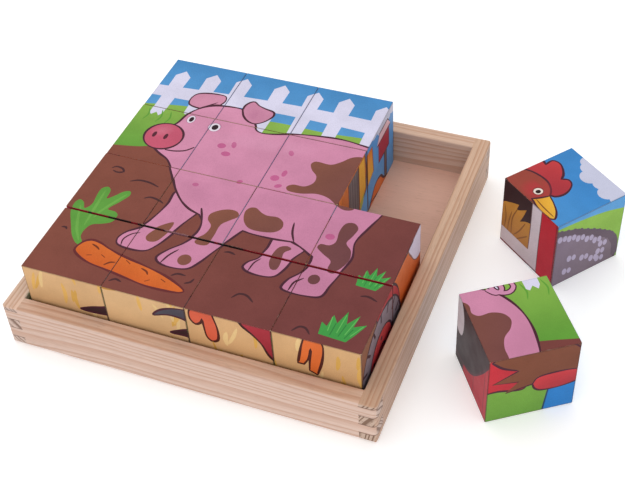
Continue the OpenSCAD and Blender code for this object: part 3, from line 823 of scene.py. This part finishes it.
def curls(p, places, r=0.048):
    for x, y in places:
        p.oval("AFA2BA", x, y, r * 0.72, r * 1.1, 8)
        p.oval("AFA2BA", x + r * 1.5, y - r * 0.3, r * 0.66, r * 1.0, 8)


def sheep_picture():
    p = Picture()
    p.area(SKY, "0,2.6* 4,2.6* 4,4* 0,4*")
    cloud(p, 1.1, 3.55, 0.9)
    cloud(p, 3.2, 3.6, 0.8)
    p.area(fade("5F9636", "8FB84C", (0, 0.8), (0, 2.95)), "0,3.05* 0.8,3.2 1.8,3.05 2.6,2.96 3.3,2.93 3.7,2.88 4,2.8* 4,0* 0,0*")
    wool = fade("857385", "75666E", (2.5, 2.9), (3.3, 1.4))
    for x in (1.55, 1.95, 3.05, 3.45):
        p.area("4A3A40", f"{x - 0.08},1.5* {x - 0.07},0.8* {x + 0.08},0.8* {x + 0.09},1.5*", 0.022)
    p.area(wool, "1.2,2.2 1.1,1.85 1.25,1.5 1.6,1.36 1.9,1.28 2.3,1.34 2.7,1.26 3.1,1.32 3.5,1.4 3.8,1.62 3.95,2.0 3.94,2.3 "
                 "3.85,2.45 3.6,2.6 3.3,2.76 3.0,2.86 2.6,2.94 2.2,2.96 1.8,2.92 1.5,2.8 1.3,2.52", 0.05, "584850")
    back = ((1.22, 2.26), (1.32, 2.55), (1.5, 2.78), (1.8, 2.91), (2.2, 2.95), (2.6, 2.94), (3.0, 2.88), (3.3, 2.78),
            (3.6, 2.62), (3.84, 2.46), (3.93, 2.3), (3.95, 2.08))
    for (x1, y1), (x2, y2) in zip(back, back[1:]):
        for k in range(6):
            x, y = x1 + (x2 - x1) * k / 6, y1 + (y2 - y1) * k / 6
            p.oval("645460", x, y - 0.02, 0.05, 0.055 + 0.012 * (k % 2))
    p.oval(wool, 2.5, 2.5, 1.0, 0.36)
    curls(p, [(3.05, 2.76), (3.19, 2.71), (3.33, 2.64), (3.47, 2.56), (3.6, 2.47), (3.7, 2.36), (3.68, 2.24), (3.23, 2.36),
              (3.43, 2.27), (3.18, 2.17), (3.58, 2.18), (3.68, 2.12), (2.8, 2.74), (2.5, 2.8), (2.2, 2.78), (1.9, 2.72), (1.6, 2.6),
              (1.5, 2.1), (1.9, 2.2), (2.3, 2.3), (2.7, 2.4), (1.7, 1.8), (2.2, 1.85), (2.7, 1.9), (3.2, 1.8), (3.6, 1.8),
              (1.5, 1.6), (2.0, 1.5), (2.5, 1.5), (3.0, 1.5), (3.4, 1.6)])
    p.area("4F4047", "0.62,2.36 0.5,2.1 0.56,1.86 0.74,1.78 0.92,1.9 1.08,2.2 1.12,2.5 0.96,2.68 0.76,2.62", 0.026)
    p.area("4F4047", "1.02,2.56 1.2,2.66 1.36,2.58 1.28,2.44 1.1,2.4", 0.022)
    p.area("CFC2D2", "0.66,2.6 0.74,2.76 0.9,2.82 1.1,2.78 1.16,2.64 1.02,2.56 0.84,2.56", 0.022)
    p.oval("E6E0EA", 0.8, 2.36, 0.045, 0.05, 0, 0.012)
    p.oval("20141A", 0.79, 2.355, 0.022, 0.026)
    p.line(0.018, "0.56,1.96 0.64,1.9 0.74,1.92", "20141A")
    for x, y, size in ((0.4, 0.7, 1.1), (1.1, 0.4, 0.9), (2.5, 0.6, 1.2), (3.3, 0.35, 0.9), (3.75, 0.9, 1.0)):
        grass_tuft(p, x, y, size, ("4F8A35", "90BE58", "3F7030"))
    for x, y in ((0.8, 0.95), (1.8, 0.5), (2.9, 0.9), (3.6, 0.6)):
        for k in range(5):
            p.oval("E3DCE6", x + 0.045 * math.cos(1.257 * k), y + 0.045 * math.sin(1.257 * k), 0.032)
        p.oval(BEAK, x, y, 0.022)
    return p


# -------------------------------------------------------------------- from picture to sheets

# A sheet is pressed down over the wood's eased edge: distance from its rim, share of its thickness
CURL = ((0.0, 0.0), (0.06 * MM, 0.48), (0.12 * MM, 0.88), (0.22 * MM, 1.0))
CORNER_R = 0.35 * MM
GRID = 10                # plain points across a sheet, so that colours can fade


def rounded_square(inset):
    """A square of one sheet's side with round corners, drawn in by an inset, in sheet sides."""
    r = max(CORNER_R - inset, 0.05 * MM)
    out = []
    for k in range(4):
        cx, cy = ((SHEET - inset - r), (inset + r))[k in (1, 2)], ((SHEET - inset - r), (inset + r))[k in (2, 3)]
        for a in np.linspace(k * math.pi / 2, (k + 1) * math.pi / 2, 5):
            out.append(((cx + r * math.cos(a)) / SHEET, (cy + r * math.sin(a)) / SHEET))
    return out


def clipped(start, end):
    """The part of each segment that lies in the unit square, and which segments have one."""
    low, high = np.zeros(len(start)), np.ones(len(start))
    way = end - start
    keep = np.ones(len(start), bool)
    for axis in (0, 1):
        for sign, wall in ((-1, 0.0), (1, 1.0)):
            speed = sign * way[:, axis]
            room = wall * sign - sign * start[:, axis]
            keep &= ~((np.abs(speed) < 1e-12) & (room < 0))
            with np.errstate(divide="ignore", invalid="ignore"):
                t = room / speed
            low = np.where(speed < -1e-12, np.maximum(low, t), low)
            high = np.where(speed > 1e-12, np.minimum(high, t), high)
    keep &= high - low > 1e-9
    return start + way * low[:, None], start + way * high[:, None], keep


def cut_sheet(picture, column, row):
    """The triangles of one sheet, in sheet sides: points, triangles, and a colour per corner."""
    corner = np.array([column - 1, COUNT - row], float)
    points = []
    edges = []
    rings = [rounded_square(d) for d, _ in CURL]
    for ring in rings:
        first = len(points)
        points += ring
        edges += [(first + i, first + (i + 1) % len(ring)) for i in range(len(ring))]
    points += [((i + 0.5) / GRID, (j + 0.5) / GRID) for i in range(GRID) for j in range(GRID)]
    shapes = []
    for number, (colour, loop, soft) in enumerate(picture.shapes):
        local = loop - corner
        if (local.min(0) > 1).any() or (local.max(0) < 0).any():
            continue
        shapes.append((colour, local, soft))
        a, b, keep = clipped(local, np.roll(local, -1, 0))
        for p, q in zip(a[keep], b[keep]):
            edges.append((len(points), len(points) + 1))
            points += [tuple(p), tuple(q)]
    border = np.array(rings[0])
    verts, _, tris, _, _, _ = delaunay_2d_cdt([Vector(p) for p in points], edges, [], 0, 1e-6, False)
    verts = np.array([tuple(v) for v in verts])
    tris = np.array([t for t in tris if len(t) == 3])
    middles = verts[tris].mean(1)
    in_sheet = inside(middles, border)
    tris, middles = tris[in_sheet], middles[in_sheet]
    colours = np.ones((len(tris), 3, 3)) * 0.8
    corners = verts[tris]
    for colour, loop, soft in shapes:
        low, high = loop.min(0), loop.max(0)
        near = ((middles >= low) & (middles <= high)).all(1).nonzero()[0]
        if not len(near):
            continue
        hit = near[inside(middles[near], loop)]
        if not len(hit):
            continue
        flat = corners[hit].reshape(-1, 2) + corner
        fresh = colour_at(colour, flat).reshape(-1, 3, 3)
        if soft:
            x, y, rx, ry, turn, strength = soft
            c, s = math.cos(turn), math.sin(turn)
            d = flat - (x, y)
            far = np.hypot((c * d[:, 0] + s * d[:, 1]) / rx, (c * d[:, 1] - s * d[:, 0]) / ry)
            share = (strength * np.clip(1 - far, 0, 1) ** 0.7).reshape(-1, 3, 1)
            fresh = colours[hit] * (1 - share) + fresh * share
        colours[hit] = fresh
    return verts, tris, colours


def edge_distance(points):
    """How far each point of a sheet is from the sheet's edge, in metres."""
    return np.minimum(points, 1 - points).min(1) * SHEET


def border_loops(tris):
    """The closed loops of edges that only one triangle has, each in order."""
    follow = {}
    seen = set()
    for t in tris:
        for a, b in ((t[0], t[1]), (t[1], t[2]), (t[2], t[0])):
            seen.add((a, b))
    for a, b in seen:
        if (b, a) not in seen:
            follow[a] = b
    loops = []
    while follow:
        start, here = follow.popitem()
        loop = [start]
        while here != start:
            loop.append(here)
            here = follow.pop(here)
        loops.append(loop)
    return loops


# Which way a picture lies on each face: to the picture's right, and up, in the block's own axes
FACES = {"top": ((1, 0, 0), (0, 1, 0)), "front": ((1, 0, 0), (0, 0, 1)), "right": ((0, 1, 0), (0, 0, 1)),
         "back": ((-1, 0, 0), (0, 0, 1)), "left": ((0, -1, 0), (0, 0, 1)), "bottom": ((1, 0, 0), (0, -1, 0))}
STANDING = {"top": "pig", "front": "hens", "right": "tractor", "back": "sheep", "left": "barn", "bottom": "rooster"}
TURNED = {"top": "pig", "front": "barn", "right": "tractor", "back": "sheep", "left": "hens", "bottom": "rooster"}
LAID = {(3, 1): TURNED, (3, 2): TURNED, (3, 3): TURNED, (3, 4): TURNED,
        (1, 4): {"top": "rooster", "front": "barn", "right": "sheep", "back": "tractor", "left": "hens",
                 "bottom": "pig"},
        (2, 4): {"top": "pig", "front": "rooster", "right": "sheep", "back": "tractor", "left": "barn",
                 "bottom": "hens"}}

# Blocks that carry another cell (column, row) of a picture than the one they stand on
MOVED = {"hens": {(4, 1): (1, 3), (4, 2): (1, 2), (4, 3): (2, 4)},
         "tractor": {(2, 3): (2, 2), (1, 3): (3, 2), (4, 4): (1, 3), (3, 4): (2, 3)},
         "rooster": {(1, 4): (3, 1), (2, 4): (2, 3)},
         "barn": {(1, 4): (1, 1), (2, 4): (3, 2)},
         "sheep": {(1, 4): (4, 2)}}


def cells_of(picture):
    """Which cell of a picture each block carries, so that every cell is used once."""
    cells = {(r, c): (c, r) for r, c in NAMES}
    for block, cell in MOVED.get(picture, {}).items():
        other = next(b for b in cells if cells[b] == cell)
        cells[other], cells[block] = cells[block], cell
    return cells


def make_sheets(r, c, pictures, material):
    """The six printed sheets of one block, as one piece."""
    low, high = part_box(f"block_r{r}c{c}")
    place = Matrix.Translation((low + high) / 2) @ Matrix.Rotation(block_turn(f"block_r{r}c{c}"), 4, "Z")
    wood_half = (high.z - low.z) / 2
    all_points, all_faces, all_inks, all_uvs = [], [], [], []
    depth_of = np.array([d for d, _ in CURL])
    share_of = np.array([s for _, s in CURL])
    for face, (right, up) in FACES.items():
        subject = LAID.get((r, c), STANDING)[face]
        verts, tris, inks = cut_sheet(pictures[subject], *cells_of(subject)[r, c])
        right, up = Vector(right), Vector(up)
        out = right.cross(up)
        first = len(all_points)
        used = np.unique(tris)
        renumber = {int(v): k for k, v in enumerate(used)}
        flat = verts[used]
        heights = SHEET_T * np.interp(edge_distance(flat), depth_of, share_of)
        for (x, y), z in zip(flat, heights):
            all_points.append(place @ (right * ((x - 0.5) * SHEET) + up * ((y - 0.5) * SHEET) + out * (wood_half + z)))
        for t, ink in zip(tris, inks):
            all_faces.append(tuple(first + renumber[int(i)] for i in t))
            all_inks += [tuple(k) for k in ink]
            all_uvs += [tuple(verts[int(i)]) for i in t]
        for loop in border_loops(tris):
            n = len(loop)
            rims = [[first + renumber[int(i)] for i in loop]]
            for narrower, lower in ((EASE / 2, EASE / 2), (EASE, 0.0)):
                size = SHEET - 2 * narrower
                rims.append(range(len(all_points), len(all_points) + n))
                for x, y in verts[loop] - 0.5:
                    all_points.append(place @ (right * (x * size) + up * (y * size) + out * (wood_half - lower)))
            for upper, under in zip(rims, rims[1:]):
                for k in range(n):
                    j = (k + 1) % n
                    all_faces.append((upper[j], upper[k], under[k], under[j]))
                    all_inks += [PAPER] * 4
                    all_uvs += [tuple(verts[loop[i]]) for i in (j, k, k, j)]
            all_faces.append(tuple(reversed(rims[-1])))
            all_inks += [PAPER] * n
            all_uvs += [tuple(verts[i]) for i in reversed(loop)]
    mesh = bpy.data.meshes.new(f"print_r{r}c{c}")
    mesh.from_pydata(all_points, [], all_faces)
    ink = mesh.attributes.new("ink", "FLOAT_COLOR", "CORNER")
    ink.data.foreach_set("color", np.concatenate([np.array(all_inks), np.ones((len(all_inks), 1))], 1).ravel())
    uv = mesh.uv_layers.new(name="sheet")
    uv.data.foreach_set("uv", np.array(all_uvs).ravel())
    mesh.materials.append(material)
    mesh.update()
    piece = bpy.data.objects.new(f"print_r{r}c{c}", mesh)
    bpy.context.scene.collection.objects.link(piece)
    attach(piece, f"cube_r{r}c{c}")
    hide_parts(f"sheets_r{r}c{c}")
    return piece


PAPER = (0.3, 0.24, 0.2)


# ----------------------------------------------------------------------------------- making

def give(node, material):
    """Gives a CAD node a better material."""
    piece = frame["nodes"][node]
    if not piece.material_slots:
        piece.data.materials.append(material)
    for slot in piece.material_slots:
        slot.link = "OBJECT"
        slot.material = material


def make_tray():
    finger = 0.0058
    pine = dict(ring=0.0022, early=linear("DAC0B2"), late=linear("BF9782"), contrast=0.75, joints=finger)
    brown = dict(pine, early=linear("DCC6B8"), late=linear("BC9078"), contrast=0.6)
    tan = dict(pine, early=linear("CFB3A0"), late=linear("B0856A"), contrast=0.65)
    give("front_wall", wood("front_pine", 0, (0, TRAY_LOW.y - 0.06, -0.04), seed=1.0, **pine))
    give("back_wall", wood("back_pine", 0, (0, BACK_HIGH.y + 0.06, -0.03), seed=2.0, **brown))
    give("left_wall", wood("left_pine", 1, (TRAY_LOW.x - 0.05, 0, -0.04), seed=3.0, **pine))
    give("right_wall", wood("right_pine", 1, (TRAY_HIGH.x + 0.06, 0, -0.03), seed=4.0, **tan))
    give("floor_panel", wood("floor_ply", 0, (0, 0, -0.4), 0.009, linear("DBB6AA"), linear("CCA294"), 5.0, 0.15, 0.05))


def make_blocks():
    pictures = {"pig": pig_picture(), "hens": hens_picture(), "tractor": tractor_picture(),
                "rooster": rooster_picture(), "barn": barn_picture(), "sheep": sheep_picture()}
    paper = printed_paper()
    for r, c in NAMES:
        low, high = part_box(f"block_r{r}c{c}")
        middle = (low + high) / 2
        pith = (middle.x + 0.03 * (r - 2.5), middle.y + 0.02 * (c - 2.5), 0)
        give(f"block_r{r}c{c}", wood(f"block_wood_r{r}c{c}", 2, pith, 0.0025, linear("E8D2B4"), linear("CFA97E"),
                                     r * 4.0 + c))
        make_sheets(r, c, pictures, paper)


make_camera()
make_stage()
make_tray()
make_blocks()
